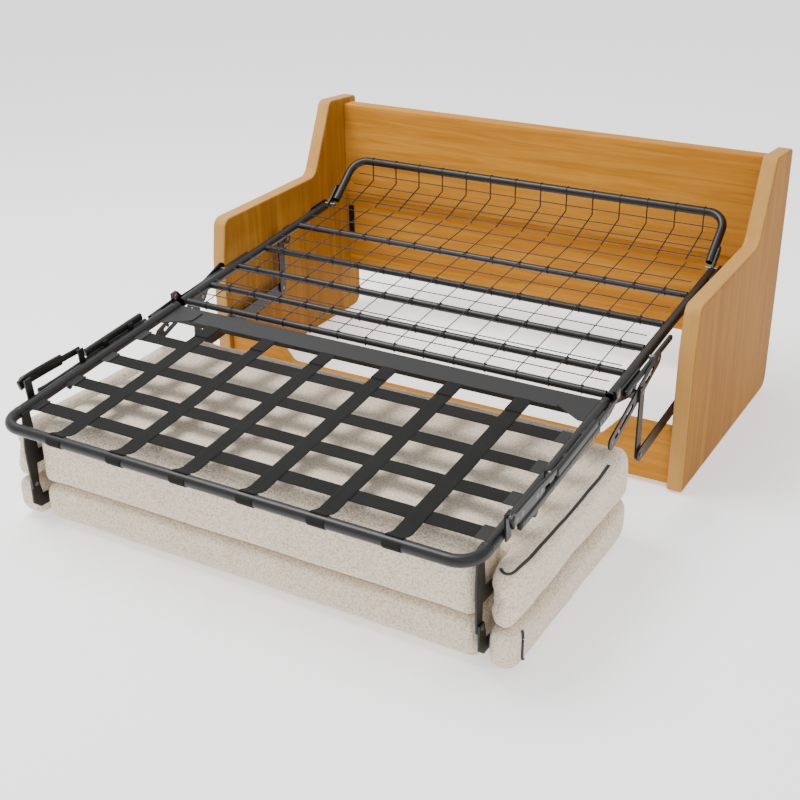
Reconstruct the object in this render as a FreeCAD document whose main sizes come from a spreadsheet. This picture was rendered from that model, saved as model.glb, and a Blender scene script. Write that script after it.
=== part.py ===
import FreeCAD, Part
import math
import os

import Sketcher

Vector = FreeCAD.Vector
X_AXIS = Vector(1, 0, 0)

doc = FreeCAD.newDocument("SleeperSofa")
sheet = doc.addObject("Spreadsheet::Sheet", "Sizes")
sheet_rows = []


class Size:
    """A number together with the expression that keeps it tied to the sheet."""

    def __init__(self, value, text):
        self.value = float(value)
        self.text = text

    def join(self, other, sign, result):
        return Size(result, "(" + self.text + " " + sign + " " + as_size(other).text + ")")

    def __add__(self, other):
        return self.join(other, "+", self.value + as_size(other).value)

    def __radd__(self, other):
        return as_size(other) + self

    def __sub__(self, other):
        return self.join(other, "-", self.value - as_size(other).value)

    def __rsub__(self, other):
        return as_size(other) - self

    def __mul__(self, other):
        return self.join(other, "*", self.value * as_size(other).value)

    def __rmul__(self, other):
        return as_size(other) * self

    def __truediv__(self, other):
        return self.join(other, "/", self.value / as_size(other).value)

    def __neg__(self):
        return Size(-self.value, "(0 - " + self.text + ")")


def as_size(value):
    """Plain numbers become a Size with their own text."""
    return value if isinstance(value, Size) else Size(value, repr(float(value)))


def size(alias, value):
    """Add one driving dimension to the sheet and return it."""
    sheet_rows.append(alias)
    cell = "A" + str(len(sheet_rows))
    sheet.set(cell, str(value))
    sheet.setAlias(cell, alias)
    return Size(value, "Sizes." + alias)


def cosine(angle):
    return Size(math.cos(math.radians(angle.value)), "cos(" + angle.text + " * 1 deg)")


def sine(angle):
    return Size(math.sin(math.radians(angle.value)), "sin(" + angle.text + " * 1 deg)")


# Carcass sizes
carcass_width = size("carcass_width", 1700)
panel_thickness = size("panel_thickness", 50)
panel_depth = size("panel_depth", 865)
panel_height = size("panel_height", 845)
panel_rise = size("panel_rise", 12)
glide_height = size("glide_height", 9)
glide_radius = size("glide_radius", 11)
glide_front_inset = size("glide_front_inset", 30)
glide_back_inset = size("glide_back_inset", 75)
front_straight_height = size("front_straight_height", 450)
arm_front_setback = size("arm_front_setback", 20)
arm_front_height = size("arm_front_height", 592)
arm_back_depth = size("arm_back_depth", 570)
arm_back_height = size("arm_back_height", 603)
wing_top_depth = size("wing_top_depth", 686)
panel_edge_round = size("panel_edge_round", 7)
board_thickness = size("board_thickness", 50)
board_back_inset = size("board_back_inset", 33)
board_face = panel_depth - board_back_inset - board_thickness
board_top = size("board_top", 827)
board_bottom = size("board_bottom", 478)
lower_board_setback = size("lower_board_setback", 16)
lower_board_thickness = size("lower_board_thickness", 18)
lower_board_bottom = size("lower_board_bottom", 180)
rail_setback = size("rail_setback", 22)
rail_thickness = size("rail_thickness", 36)
rail_bottom = size("rail_bottom", 16)
rail_end_height = size("rail_end_height", 193)
rail_middle_height = size("rail_middle_height", 112)
rail_end_width = size("rail_end_width", 165)
rail_slope_width = size("rail_slope_width", 70)
joint_gap = size("joint_gap", 0.4)
seat_gap = size("seat_gap", 0.25)
inner_half = carcass_width / 2 - panel_thickness
outer_half = carcass_width / 2

# Bed plane and its tubes
bed_y = size("bed_y", -330)
bed_z = size("bed_z", 428)
bed_slope = size("bed_slope", 5.88)
frame_clearance = size("frame_clearance", 76)
tube_offset = inner_half - frame_clearance
foot_tube_radius = size("foot_tube_radius", 16)
foot_tube_wall = size("foot_tube_wall", 2)
foot_length = size("foot_length", 794)
foot_bend = size("foot_bend", 62)
rail_tube_radius = size("rail_tube_radius", 15)
rail_tube_wall = size("rail_tube_wall", 2)
deck_start = size("deck_start", 6)
foot_start = size("foot_start", 18)
cross_tube_radius = size("cross_tube_radius", 11)
cross_tube_wall = size("cross_tube_wall", 1.5)
cross_first = size("cross_first", 19)
cross_second = size("cross_second", 146)
cross_third = size("cross_third", 300)
cross_fourth = size("cross_fourth", 458)
cross_fifth = size("cross_fifth", 665)
fold_axis_rise = size("fold_axis_rise", 20)

# Wire net
wire_radius = size("wire_radius", 1.6)
wire_edge = size("wire_edge", 87)
wire_count = 14
wire_pitch = (tube_offset - wire_edge) * 2 / (wire_count - 1)
net_rows = 9
net_start = size("net_start", 62)
net_end = size("net_end", 53)
net_inset = size("net_inset", 24)
net_half_width = tube_offset - net_inset

# Head hoop
head_u = size("head_u", 875)
head_slope = size("head_slope", 39.2)
rail_head_gap = size("rail_head_gap", 25)
deck_end = head_u - rail_head_gap
net_pitch = (head_u - net_end - net_start) / (net_rows - 1)
hoop_inset = size("hoop_inset", 21)
hoop_offset = tube_offset - hoop_inset
hoop_radius = size("hoop_radius", 14)
hoop_wall = size("hoop_wall", 2)
hoop_clearance = size("hoop_clearance", 68)
hoop_bend = size("hoop_bend", 58)
hoop_start = size("hoop_start", 20)
hoop_net_drop = size("hoop_net_drop", 56)

# Webbing
strap_width = size("strap_width", 50)
strap_thickness = size("strap_thickness", 1.6)
strap_gap = size("strap_gap", 0.4)
strap_edge = size("strap_edge", 204)
strap_count = 6
long_strap_pitch = (tube_offset - strap_edge) * 2 / (strap_count - 1)
cross_strap_pitch = size("cross_strap_pitch", 148.7)
cross_strap_first = size("cross_strap_first", 227)
hook_length = size("hook_length", 30)
hook_thickness = size("hook_thickness", 2)
band_near = size("band_near", 14)
band_width = size("band_width", 78)
band_lip = size("band_lip", 14)
band_sheet = size("band_sheet", 2.5)

# Side linkage lanes, counted outward from the bed's middle
plate_thickness = size("plate_thickness", 5)
lane_gap = size("lane_gap", 1.5)
pin_radius = size("pin_radius", 6)
pin_clearance = size("pin_clearance", 0.05)
arm_length = size("arm_length", 190)
arm_width = size("arm_width", 34)
front_pivot_u = size("front_pivot_u", 126)
rear_pivot_u = size("rear_pivot_u", 622)
arm_top_drop = size("arm_top_drop", 38)
wall_bar_width = size("wall_bar_width", 40)
spacer_radius = size("spacer_radius", 8)

link_front_u = size("link_front_u", -74)
link_front_w = size("link_front_w", -84)
link_rear_u = size("link_rear_u", 264)
link_rear_w = size("link_rear_w", -2)
lever_front_u = size("lever_front_u", -655)
lever_rear_u = size("lever_rear_u", -520)
lever_end_u = size("lever_end_u", -438)
lever_rise = size("lever_rise", 50)

# Cushions
cushion_inset = size("cushion_inset", 12)
cushion_half_width = inner_half - cushion_inset
slot_inset = size("slot_inset", 30)
cushion_main_half = tube_offset - slot_inset
slot_outer = tube_offset
slot_back = size("slot_back", -925)
cushion_front = size("cushion_front", -1048)
cushion_back = size("cushion_back", -285)
seat_bottom = size("seat_bottom", 131)
seat_top = size("seat_top", 318)
wing_top = size("wing_top", 298)
pad_bottom = size("pad_bottom", 1)
back_pivot_y = size("back_pivot_y", -1046)
back_pivot_z = size("back_pivot_z", 130.2)

cushion_bulge = size("cushion_bulge", 5)
cushion_end_round = size("cushion_end_round", 12)
wing_round = size("wing_round", 18)
seat_crown = size("seat_crown", 7)
pad_crown = size("pad_crown", 2.6)
cushion_gap = size("cushion_gap", 0.3)
pad_top = seat_bottom - pad_crown - cushion_gap

sleeve_near = size("sleeve_near", -170)
sleeve_far = size("sleeve_far", -386)
sleeve_rise = size("sleeve_rise", 26)
sleeve_radius = size("sleeve_radius", 7.8)

# Kick tab
tab_u = size("tab_u", -482)
tab_w = size("tab_w", 2)

slope_cos = cosine(bed_slope)
slope_sin = sine(bed_slope)
front_reach = foot_length * slope_cos - bed_y + foot_tube_radius + strap_gap + strap_thickness
datum_y = (front_reach - panel_depth) / 2
head_y = bed_y + head_u * slope_cos
head_z = bed_z + head_u * slope_sin
hoop_length = (board_face - head_y - hoop_radius - hoop_clearance) / cosine(head_slope)
rail_offset = tube_offset + foot_tube_radius + joint_gap - seat_gap - rail_tube_radius
lane_a = tube_offset + foot_tube_radius + joint_gap + plate_thickness / 2
lane_b = lane_a + plate_thickness + lane_gap
lane_c = lane_b + plate_thickness + lane_gap
lane_d = lane_c + plate_thickness + lane_gap * 2 + joint_gap * 1.5
lane_e = lane_d + plate_thickness + lane_gap
lane_f = lane_e + plate_thickness + lane_gap

doc.recompute()


# Drawing helpers
def plane_of(body, role):
    for feature in body.Origin.OriginFeatures:
        if feature.Role == role:
            return feature
    raise RuntimeError("no plane " + role)


def new_body(label):
    body = doc.addObject("PartDesign::Body", "Body_" + label)
    body.Label = label
    if hasattr(body, "AllowCompound"):
        body.AllowCompound = True
    return body


def new_sketch(body, role, offset=None):
    """Put an empty sketch on one of the body's own planes, moved along its normal."""
    sketch = body.newObject("Sketcher::SketchObject", "Sketch")
    sketch.AttachmentSupport = [(plane_of(body, role), "")]
    sketch.MapMode = "FlatFace"
    if offset is not None:
        sketch.AttachmentOffset = FreeCAD.Placement(Vector(0, 0, offset.value), FreeCAD.Rotation())
        sketch.setExpression("AttachmentOffset.Base.z", offset.text)
    return sketch


def drive(sketch, kind, first, value):
    """Add one dimension to a sketch and tie it to the sheet."""
    index = sketch.addConstraint(Sketcher.Constraint(kind, *first, value.value))
    if value.text.startswith("(") or value.text.startswith("Sizes"):
        sketch.setExpression("Constraints[" + str(index) + "]", value.text)


def fix_point(sketch, geometry, position, across, up):
    """Hold a sketch point at its two distances from the sketch origin."""
    for kind, axis, value in (("DistanceX", -2, as_size(across)), ("DistanceY", -1, as_size(up))):
        if abs(value.value) < 1e-9:
            sketch.addConstraint(Sketcher.Constraint("PointOnObject", geometry, position, axis))
        else:
            drive(sketch, kind, (-1, 1, geometry, position), value)


def add_outline(sketch, points):
    """Draw a closed outline whose corners stand at driven places."""
    sizes = [(as_size(across), as_size(up)) for across, up in points]
    corners = [Vector(across.value, up.value, 0) for across, up in sizes]
    count = len(corners)
    first = sketch.GeometryCount
    for index in range(count):
        sketch.addGeometry(Part.LineSegment(corners[index], corners[(index + 1) % count]), False)
    for index in range(count):
        following = first + (index + 1) % count
        sketch.addConstraint(Sketcher.Constraint("Coincident", first + index, 2, following, 1))
    for index, (across, up) in enumerate(sizes):
        fix_point(sketch, first + index, 1, across, up)


def add_box(sketch, left, right, low, high):
    add_outline(sketch, [(left, low), (right, low), (right, high), (left, high)])


def add_circle(sketch, across, up, radius):
    across, up, radius = as_size(across), as_size(up), as_size(radius)
    centre = Vector(across.value, up.value, 0)
    index = sketch.addGeometry(Part.Circle(centre, Vector(0, 0, 1), radius.value), False)
    fix_point(sketch, index, 3, across, up)
    drive(sketch, "Radius", (index,), radius)


def add_ring(sketch, across, up, radius, wall):
    add_circle(sketch, across, up, radius)
    add_circle(sketch, across, up, radius - wall)


def add_stadium(sketch, start, end, half_width):
    """Draw a bar outline with round ends about two driven centres."""
    start = (as_size(start[0]), as_size(start[1]))
    end = (as_size(end[0]), as_size(end[1]))
    half_width = as_size(half_width)
    radius = half_width.value
    a = Vector(start[0].value, start[1].value, 0)
    b = Vector(end[0].value, end[1].value, 0)
    heading = math.atan2(b.y - a.y, b.x - a.x)
    side = Vector(-math.sin(heading), math.cos(heading), 0) * radius
    normal = Vector(0, 0, 1)
    quarter = math.pi / 2
    arc_a = Part.ArcOfCircle(Part.Circle(a, normal, radius), heading + quarter, heading + 3 * quarter)
    arc_b = Part.ArcOfCircle(Part.Circle(b, normal, radius), heading - quarter, heading + quarter)
    first = sketch.addGeometry(arc_a, False)
    sketch.addGeometry(Part.LineSegment(a - side, b - side), False)
    sketch.addGeometry(arc_b, False)
    sketch.addGeometry(Part.LineSegment(b + side, a + side), False)
    for index in range(4):
        following = first + (index + 1) % 4
        sketch.addConstraint(Sketcher.Constraint("Tangent", first + index, 2, following, 1))
    sketch.addConstraint(Sketcher.Constraint("Equal", first, first + 2))
    fix_point(sketch, first, 3, start[0], start[1])
    fix_point(sketch, first + 2, 3, end[0], end[1])
    drive(sketch, "Radius", (first,), half_width)


def pad(body, sketch, length, symmetric=True):
    length = as_size(length)
    feature = body.newObject("PartDesign::Pad", "Pad")
    feature.Profile = sketch
    feature.Length = length.value
    feature.setExpression("Length", length.text)
    if hasattr(feature, "SideType") and symmetric:
        feature.SideType = "Symmetric"
    elif symmetric:
        feature.Midplane = True
    sketch.Visibility = False
    body.Tip = feature
    return feature


def pocket(body, sketch, length):
    length = as_size(length)
    feature = body.newObject("PartDesign::Pocket", "Pocket")
    feature.Profile = sketch
    feature.Length = length.value
    feature.setExpression("Length", length.text)
    if hasattr(feature, "SideType"):
        feature.SideType = "Symmetric"
    else:
        feature.Midplane = True
    body.Tip = feature
    return feature


def fillet(body, wanted, radius):
    """Round those edges of the body's last feature that the test picks."""
    radius = as_size(radius)
    doc.recompute()
    base = body.Tip
    shape = base.Shape
    names = ["Edge" + str(i + 1) for i, edge in enumerate(shape.Edges) if wanted(edge)]
    if not names:
        raise RuntimeError("no edge to round on " + body.Label)
    feature = body.newObject("PartDesign::Fillet", "Fillet")
    feature.Base = (base, names)
    feature.Radius = radius.value
    feature.setExpression("Radius", radius.text)
    body.Tip = feature
    doc.recompute()
    return feature


def along_x_at(points, reach=0.5):
    """Test for edges that run across the sofa at one of the given side-view points."""
    def test(edge):
        ends = [vertex.Point for vertex in edge.Vertexes]
        if len(ends) != 2 or abs(ends[0].y - ends[1].y) > 0.01 or abs(ends[0].z - ends[1].z) > 0.01:
            return False
        return any(
            abs(ends[0].y - as_size(y).value) < reach and abs(ends[0].z - as_size(z).value) < reach
            for y, z in points
        )
    return test


def put_in_carcass(body):
    body.Placement = FreeCAD.Placement(Vector(0, datum_y.value, 0), FreeCAD.Rotation())
    body.setExpression("Placement.Base.y", datum_y.text)


def put_tilted(body, y, z, slope):
    y = datum_y + y
    body.Placement = FreeCAD.Placement(Vector(0, y.value, z.value), FreeCAD.Rotation(X_AXIS, slope.value))
    body.setExpression("Placement.Base.y", y.text)
    body.setExpression("Placement.Base.z", z.text)
    body.setExpression("Placement.Rotation.Angle", slope.text)


def put_on_bed(body):
    put_tilted(body, bed_y, bed_z, bed_slope)


def put_on_head(body):
    put_tilted(body, head_y, head_z, head_slope)


def in_carcass(u, w):
    """Side-view place in the carcass of a point given on the sloping bed plane."""
    u, w = as_size(u), as_size(w)
    return bed_y + u * slope_cos - w * slope_sin, bed_z + u * slope_sin + w * slope_cos


nodes = []
SIDES = (("left", -1), ("right", 1))


def keep(body):
    nodes.append(body)
    return body


def side_plate(label, put, centre, thickness, drawings):
    """Make one upright plate, standing across the given centre, from closed drawings."""
    body = new_body(label)
    put(body)
    sketch = new_sketch(body, "YZ_Plane", as_size(centre))
    for draw in drawings:
        draw(sketch)
    pad(body, sketch, thickness)
    return keep(body)


def cross_pins(label, put, pins):
    """Make round pins across the sofa, each from an inner to an outer place on both sides."""
    body = new_body(label)
    put(body)
    for (y, z), radius, inner, outer in pins:
        inner, outer = as_size(inner), as_size(outer)
        for _, sign in SIDES:
            sketch = new_sketch(body, "YZ_Plane", (inner + outer) / 2 * sign)
            add_circle(sketch, y, z, radius)
            pad(body, sketch, outer - inner)
    return keep(body)


# Side panels
arm_front_corner = (arm_front_setback, arm_front_height)
arm_back_corner = (arm_back_depth, arm_back_height)
wing_front_corner = (wing_top_depth, panel_height + panel_rise)
wing_back_corner = (panel_depth, panel_height)
foot_back_corner = (panel_depth, glide_height)
panel_outline = [
    (0, glide_height),
    foot_back_corner,
    wing_back_corner,
    wing_front_corner,
    arm_back_corner,
    arm_front_corner,
    (0, front_straight_height),
]
corner_radii = [
    (arm_front_corner, 34),
    (arm_back_corner, 46),
    (wing_front_corner, 26),
    (wing_back_corner, 14),
    (foot_back_corner, 42),
    ((0, front_straight_height), 300),
]
for side, sign in SIDES:
    body = new_body("side_panel_" + side)
    put_in_carcass(body)
    sketch = new_sketch(body, "YZ_Plane", (outer_half - panel_thickness / 2) * sign)
    add_outline(sketch, panel_outline)
    pad(body, sketch, panel_thickness)
    for corner, radius in corner_radii:
        fillet(body, along_x_at([corner]), radius)

    def on_either_face(edge, sign=sign):
        places = [vertex.Point.x * sign for vertex in edge.Vertexes]
        low = [abs(place - inner_half.value) < 0.01 for place in places]
        high = [abs(place - outer_half.value) < 0.01 for place in places]
        middle = edge.CenterOfMass
        return (all(low) or all(high)) and middle.z > glide_height.value + 1

    fillet(body, on_either_face, panel_edge_round)
    keep(body)


def board(label, face, thickness, low, high, round_radius):
    """Make one board that spans between the side panels."""
    body = new_body(label)
    put_in_carcass(body)
    sketch = new_sketch(body, "YZ_Plane")
    add_box(sketch, face, face + thickness, low, high)
    pad(body, sketch, (inner_half - joint_gap) * 2)
    fillet(body, along_x_at([(face, high), (face, low)]), round_radius)
    return keep(body)


board("back_board_upper", board_face, board_thickness, board_bottom, board_top, 5)
lower_face = board_face + lower_board_setback
board("back_board_lower", lower_face, lower_board_thickness, lower_board_bottom,
      board_bottom - joint_gap, 2)

rail_half = inner_half - joint_gap
rail_high = rail_half - rail_end_width
rail_low = rail_high - rail_slope_width
body = new_body("front_rail")
put_in_carcass(body)
sketch = new_sketch(body, "XZ_Plane", -(rail_setback + rail_thickness / 2))
add_outline(sketch, [
    (-rail_half, rail_bottom), (rail_half, rail_bottom), (rail_half, rail_end_height),
    (rail_high, rail_end_height), (rail_low, rail_middle_height), (-rail_low, rail_middle_height),
    (-rail_high, rail_end_height), (-rail_half, rail_end_height),
])
pad(body, sketch, rail_thickness)


def rail_shoulder(edge):
    middle = edge.CenterOfMass
    upright = abs(edge.BoundBox.YLength - rail_thickness.value) < 0.01
    return upright and abs(middle.x) < rail_high.value + 1 and middle.z > rail_bottom.value + 1


fillet(body, rail_shoulder, 30)
keep(body)

body = new_body("floor_glides")
put_in_carcass(body)
sketch = new_sketch(body, "XY_Plane", glide_height / 2 - joint_gap / 4)
for _, sign in SIDES:
    for place in (glide_front_inset, panel_depth - glide_back_inset):
        add_circle(sketch, (outer_half - panel_thickness / 2) * sign, place, glide_radius)
pad(body, sketch, glide_height - joint_gap / 2)
keep(body)

body = new_body("back_corner_brackets")
put_in_carcass(body)
bracket_sheet = size("bracket_sheet", 4)
bracket_low = size("bracket_low", 322)
bracket_high = size("bracket_high", 432)
for _, sign in SIDES:
    sketch = new_sketch(body, "XZ_Plane", -(lower_face - joint_gap - bracket_sheet / 2))
    edge_out = (inner_half - joint_gap) * sign
    edge_in = (inner_half - joint_gap - 22) * sign
    add_box(sketch, edge_in, edge_out, bracket_low, bracket_high)
    pad(body, sketch, bracket_sheet)
keep(body)

# Wall bars and the swing arms they carry
hole_radius = pin_radius + pin_clearance
arm_tops = [in_carcass(place, -arm_top_drop) for place in (front_pivot_u, rear_pivot_u)]
arm_feet = [(y, z - arm_length) for y, z in arm_tops]
front_foot, rear_foot = arm_feet
spacer_shares = (0.6, 0.8)
spacer_places = [
    (front_foot[0] + (rear_foot[0] - front_foot[0]) * share,
     front_foot[1] + (rear_foot[1] - front_foot[1]) * share) for share in spacer_shares
]
for side, sign in SIDES:
    side_plate("wall_bar_" + side, put_in_carcass, lane_f * sign, plate_thickness, [
        lambda s: add_stadium(s, front_foot, rear_foot, wall_bar_width / 2),
        lambda s: add_circle(s, front_foot[0], front_foot[1], hole_radius),
        lambda s: add_circle(s, rear_foot[0], rear_foot[1], hole_radius),
    ])
cross_pins("wall_spacers", put_in_carcass, [
    (place, spacer_radius, lane_f + plate_thickness / 2, inner_half) for place in spacer_places
])
cross_pins("arm_low_pins", put_in_carcass, [
    (place, pin_radius, lane_e - plate_thickness / 2 - 1, lane_f + plate_thickness / 2 + 3)
    for place in arm_feet
])
for name, low, high in (("front_swing_arm_", arm_feet[0], arm_tops[0]),
                        ("rear_swing_arm_", arm_feet[1], arm_tops[1])):
    for side, sign in SIDES:
        side_plate(name + side, put_in_carcass, lane_e * sign, plate_thickness, [
            lambda s, low=low, high=high: add_stadium(s, low, high, arm_width / 2),
            lambda s, low=low: add_circle(s, low[0], low[1], hole_radius),
            lambda s, high=high: add_circle(s, high[0], high[1], hole_radius),
        ])

# Deck rails, cross tubes and plates
front_top = (front_pivot_u, -arm_top_drop)
rear_top = (rear_pivot_u, -arm_top_drop)
for side, sign in SIDES:
    body = new_body("deck_rail_" + side)
    put_on_bed(body)
    sketch = new_sketch(body, "XZ_Plane", -(deck_start + deck_end) / 2)
    add_ring(sketch, rail_offset * sign, 0, rail_tube_radius, rail_tube_wall)
    pad(body, sketch, deck_end - deck_start)
    keep(body)

cross_half = rail_offset - rail_tube_radius - seat_gap
body = new_body("deck_cross_tubes")
put_on_bed(body)
sketch = new_sketch(body, "YZ_Plane")
for place in (cross_first, cross_second, cross_third, cross_fourth, cross_fifth):
    add_ring(sketch, place, 0, cross_tube_radius, cross_tube_wall)
pad(body, sketch, cross_half * 2)
keep(body)

link_rear = (link_rear_u, link_rear_w)
link_front = (link_front_u, link_front_w)


def on_link(share):
    """Place on the slotted link's middle line, from 0 at its front to 1 at its rear."""
    return (link_front[0] + (link_rear[0] - link_front[0]) * share,
            link_front[1] + (link_rear[1] - link_front[1]) * share)


for side, sign in SIDES:
    side_plate("deck_front_plate_" + side, put_on_bed, lane_a * sign, plate_thickness, [
        lambda s: add_outline(s, [
            (-12, fold_axis_rise + 14), (12, fold_axis_rise + 14), (28, 12), (front_pivot_u + 50, 8),
            (front_pivot_u + 50, -10), (front_pivot_u + 18, -arm_top_drop - 10),
            (front_pivot_u + 9, -arm_top_drop - 19), (front_pivot_u - 11, -arm_top_drop - 19),
            (front_pivot_u - 22, -arm_top_drop - 8), (4, -12), (-12, -2),
        ]),
        lambda s: add_circle(s, 0, fold_axis_rise, hole_radius),
        lambda s: add_circle(s, front_top[0], front_top[1], hole_radius),
    ])
    side_plate("slotted_link_" + side, put_on_bed, lane_d * sign, plate_thickness, [
        lambda s: add_stadium(s, link_front, link_rear, 21),
        lambda s: add_stadium(s, on_link(0.07), on_link(0.42), 7),
        lambda s: add_stadium(s, on_link(0.72), on_link(0.88), 7),
        lambda s: add_circle(s, front_top[0], front_top[1], hole_radius),
    ])


def plate_pair(label, put, centre, thickness, drawings):
    """Make the same plate on both sides as one node."""
    body = new_body(label)
    put(body)
    for _, sign in SIDES:
        sketch = new_sketch(body, "YZ_Plane", centre * sign)
        for draw in drawings:
            draw(sketch)
        pad(body, sketch, thickness)
    return keep(body)


plate_pair("deck_rear_plates", put_on_bed, lane_a, plate_thickness, [
    lambda s: add_outline(s, [
        (rear_pivot_u - 17, 8), (rear_pivot_u + 17, 8), (rear_pivot_u + 17, -arm_top_drop - 8),
        (rear_pivot_u + 8, -arm_top_drop - 17), (rear_pivot_u - 8, -arm_top_drop - 17),
        (rear_pivot_u - 17, -arm_top_drop - 8),
    ]),
    lambda s: add_circle(s, rear_top[0], rear_top[1], hole_radius),
])
plate_pair("head_cheeks", put_on_bed, lane_a, plate_thickness, [
    lambda s: add_stadium(s, (head_u - 90, 0), (head_u, 0), 14),
    lambda s: add_circle(s, head_u, 0, hole_radius),
])
arm_outside = lane_e + plate_thickness / 2 + lane_gap - joint_gap
cross_pins("deck_pins", put_on_bed, [
    (front_top, pin_radius, lane_a - plate_thickness / 2 - 1, arm_outside),
    (rear_top, pin_radius, lane_a - plate_thickness / 2 - 1, arm_outside),
    ((0, fold_axis_rise), pin_radius, lane_a - plate_thickness / 2 - 1,
     lane_b + plate_thickness / 2 + 2),
])
cross_pins("link_studs", put_on_bed, [
    (link_rear, 7, rail_offset + rail_tube_radius + seat_gap, lane_d - plate_thickness / 2),
])
cross_pins("head_pins", put_on_bed, [
    ((head_u, 0), pin_radius, hoop_offset - 6, lane_a + plate_thickness / 2 + 4),
])

# Deck wire net
net_level = cross_tube_radius + wire_radius + joint_gap / 2
cross_level = net_level + wire_radius * 2 + joint_gap / 4
first_wire = -wire_pitch * (wire_count - 1) / 2
body = new_body("deck_long_wires")
put_on_bed(body)
sketch = new_sketch(body, "XZ_Plane", -(cross_first + head_u - 12) / 2)
for index in range(wire_count):
    add_circle(sketch, first_wire + wire_pitch * index, net_level, wire_radius)
pad(body, sketch, head_u - 12 - cross_first)
keep(body)
body = new_body("deck_cross_wires")
put_on_bed(body)
sketch = new_sketch(body, "YZ_Plane")
for index in range(net_rows):
    add_circle(sketch, net_start + net_pitch * index, cross_level, wire_radius)
pad(body, sketch, net_half_width * 2)
keep(body)


# Bent tubes
def bent_tube(label, put, offset, start, end, bend, radius, wall):
    """Sweep a tube round a hoop open at one end, lying in the frame's own plane."""
    body = new_body(label)
    put(body)
    direction = 1 if end.value > start.value else -1
    path = new_sketch(body, "XY_Plane")
    left = (-offset).value
    right = offset.value
    near, far = start.value, end.value
    r = bend.value
    inner = far - r * direction
    path.addGeometry(Part.LineSegment(Vector(left, near, 0), Vector(left, inner, 0)), False)
    if direction > 0:
        arc_left = Part.ArcOfCircle(Part.Circle(Vector(left + r, inner, 0), Vector(0, 0, 1), r),
                                    math.pi / 2, math.pi)
        arc_right = Part.ArcOfCircle(Part.Circle(Vector(right - r, inner, 0), Vector(0, 0, 1), r),
                                     0, math.pi / 2)
        joins = [(0, 2, 1, 2), (1, 1, 2, 1), (2, 2, 3, 2), (3, 1, 4, 1)]
    else:
        arc_left = Part.ArcOfCircle(Part.Circle(Vector(left + r, inner, 0), Vector(0, 0, 1), r),
                                    math.pi, 3 * math.pi / 2)
        arc_right = Part.ArcOfCircle(Part.Circle(Vector(right - r, inner, 0), Vector(0, 0, 1), r),
                                     3 * math.pi / 2, 2 * math.pi)
        joins = [(0, 2, 1, 1), (1, 2, 2, 1), (2, 2, 3, 1), (3, 2, 4, 1)]
    path.addGeometry(arc_left, False)
    path.addGeometry(Part.LineSegment(Vector(left + r, far, 0), Vector(right - r, far, 0)), False)
    path.addGeometry(arc_right, False)
    path.addGeometry(Part.LineSegment(Vector(right, inner, 0), Vector(right, near, 0)), False)
    for one, one_end, other, other_end in joins:
        path.addConstraint(Sketcher.Constraint("Tangent", one, one_end, other, other_end))
    path.addConstraint(Sketcher.Constraint("Equal", 1, 3))
    fix_point(path, 0, 1, -offset, start)
    fix_point(path, 4, 2, offset, start)
    drive(path, "Radius", (1,), bend)
    drive(path, "DistanceY", (-1, 1, 2, 1), end)
    path.addConstraint(Sketcher.Constraint("Vertical", 0))
    path.addConstraint(Sketcher.Constraint("Vertical", 4))
    profile = new_sketch(body, "XZ_Plane", -start)
    add_ring(profile, -offset, 0, radius, wall)
    sweep = body.newObject("PartDesign::AdditivePipe", "Sweep")
    sweep.Profile = profile
    sweep.Spine = (path, [])
    body.Tip = sweep
    path.Visibility = False
    profile.Visibility = False
    return keep(body)


bent_tube("foot_frame", put_on_bed, tube_offset, -foot_start, -foot_length, foot_bend,
          foot_tube_radius, foot_tube_wall)
bent_tube("head_hoop", put_on_head, hoop_offset, hoop_start, hoop_length, hoop_bend,
          hoop_radius, hoop_wall)

# Head hoop lugs and net
lug_centre = hoop_offset + hoop_radius + joint_gap + plate_thickness / 2
plate_pair("hoop_lugs", put_on_head, lug_centre, plate_thickness, [
    lambda s: add_stadium(s, (0, 0), (70, 0), 13),
    lambda s: add_circle(s, 0, 0, hole_radius),
])

head_cos = cosine(head_slope)
head_sin = sine(head_slope)


def on_head(along, above):
    """Place on the hoop's plane of a point given level from the hoop's pivot."""
    along, above = as_size(along), as_size(above)
    return along * head_cos + above * head_sin, above * head_cos - along * head_sin


bar_level = hoop_length * head_sin
bar_reach = hoop_length * head_cos
wire_top = on_head(bar_reach, bar_level - hoop_radius - seat_gap)
wire_knee = on_head(bar_reach, bar_level - hoop_radius - hoop_net_drop)
wire_toe = on_head(9, 13)


def head_wires(label, corners):
    """Make the same straight wire at each place across the hoop."""
    body = new_body(label)
    put_on_head(body)
    for index in range(wire_count):
        sketch = new_sketch(body, "YZ_Plane", (first_wire + wire_pitch * index) * 0.985)
        add_outline(sketch, corners)
        pad(body, sketch, wire_radius * 2)
    keep(body)


def shifted(point, along, above):
    """Move a place on the hoop's plane by a level and an upright distance."""
    move = on_head(along, above)
    return point[0] + move[0], point[1] + move[1]


head_wires("head_drop_wires", [
    shifted(wire_top, -wire_radius, 0), shifted(wire_top, wire_radius, 0),
    shifted(wire_knee, wire_radius, wire_radius + seat_gap),
    shifted(wire_knee, -wire_radius, wire_radius + seat_gap),
])
head_wires("head_long_wires", [
    shifted(wire_knee, wire_radius, wire_radius), shifted(wire_knee, wire_radius, -wire_radius),
    shifted(wire_toe, 0, -wire_radius), shifted(wire_toe, 0, wire_radius),
])

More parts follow.
